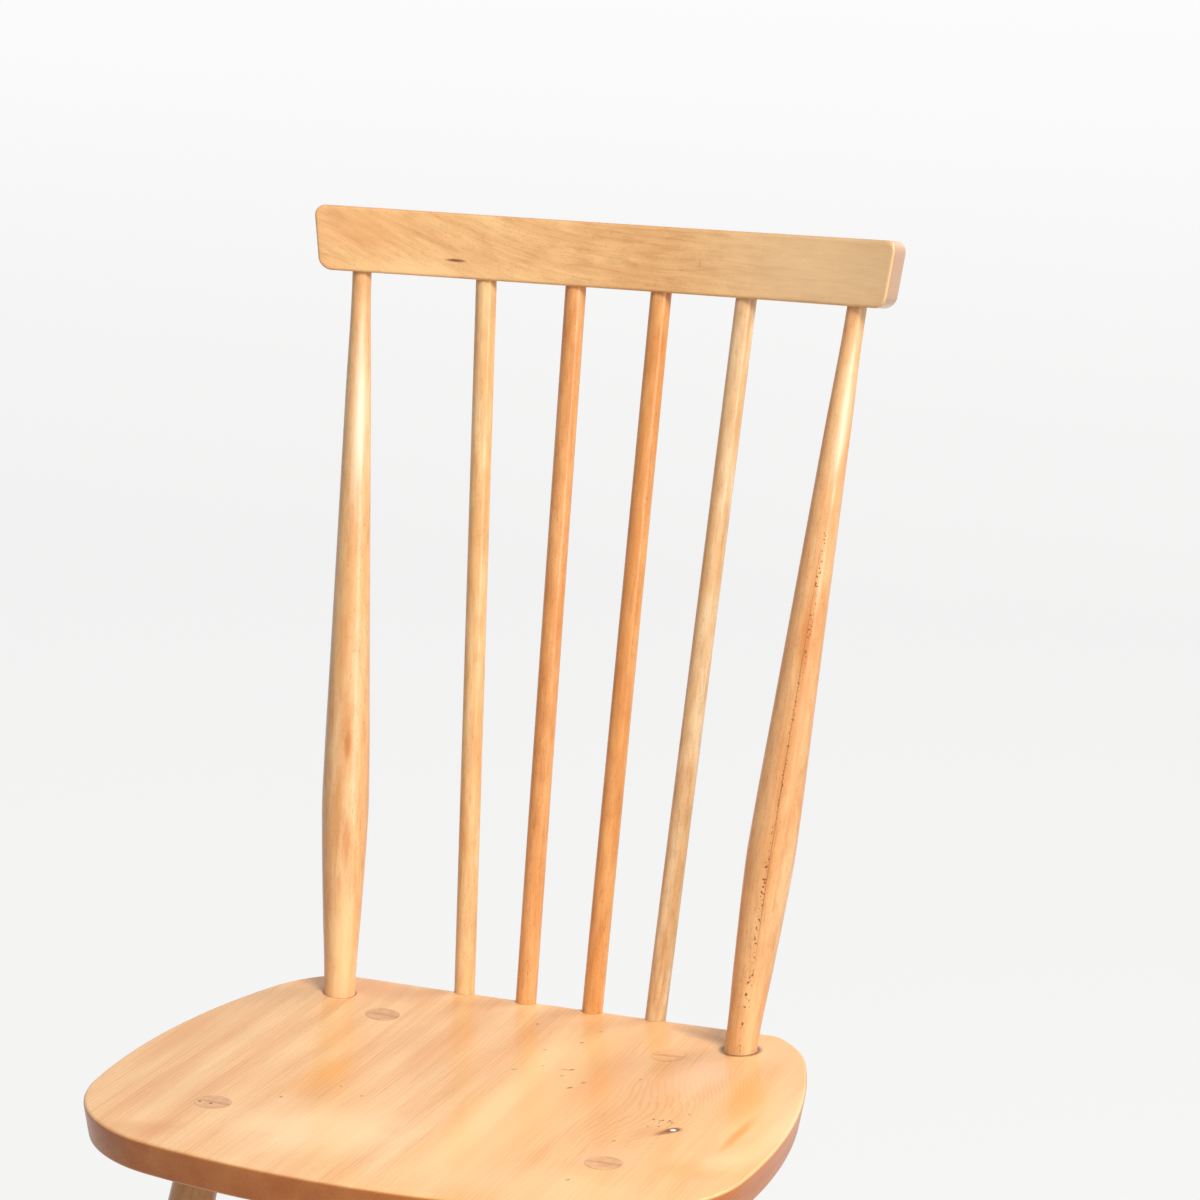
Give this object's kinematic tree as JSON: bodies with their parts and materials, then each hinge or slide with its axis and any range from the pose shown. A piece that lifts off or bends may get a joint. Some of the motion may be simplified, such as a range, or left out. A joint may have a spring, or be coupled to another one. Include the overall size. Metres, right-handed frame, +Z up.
{
  "type": "chair",
  "caption": "Windsor side chair with a dished plank seat, splayed turned legs tied by stretchers, and a raked back of turned posts and slim spindles under a bent top rail.",
  "frame": {"origin": "centre of the chair's bounding box at floor level, under the seat", "axes": "+Z up, -Y the way the sitter faces, +X to the sitter's left"},
  "size_m": [0.4252, 0.4552, 0.9529],
  "materials": {
    "seat_beech_rosy": "satin lacquer over beech",
    "seat_beech_golden": "satin lacquer over beech",
    "leg_beech": "satin lacquer over beech",
    "wedge_beech": "satin lacquer over beech",
    "stretcher_beech": "satin lacquer over beech",
    "post_beech": "satin lacquer over beech",
    "spindle_beech": "satin lacquer over beech",
    "rail_beech": "satin lacquer over beech"
  },
  "bodies": {
    "root": {"seat_board_left": "seat_beech_rosy", "seat_board_right": "seat_beech_golden", "leg_front_left": "leg_beech", "leg_front_right": "leg_beech", "leg_rear_left": "leg_beech", "leg_rear_right": "leg_beech", "leg_wedge_front_left": "wedge_beech", "leg_wedge_front_right": "wedge_beech", "leg_wedge_rear_left": "wedge_beech", "leg_wedge_rear_right": "wedge_beech", "side_stretcher_left": "stretcher_beech", "side_stretcher_right": "stretcher_beech", "cross_stretcher": "stretcher_beech", "back_post_left": "post_beech", "back_post_right": "post_beech", "post_wedge_left": "wedge_beech", "post_wedge_right": "wedge_beech", "spindle_1": "spindle_beech", "spindle_2": "spindle_beech", "spindle_3": "spindle_beech", "spindle_4": "spindle_beech", "top_rail": "rail_beech"}
  },
  "joints": []
}
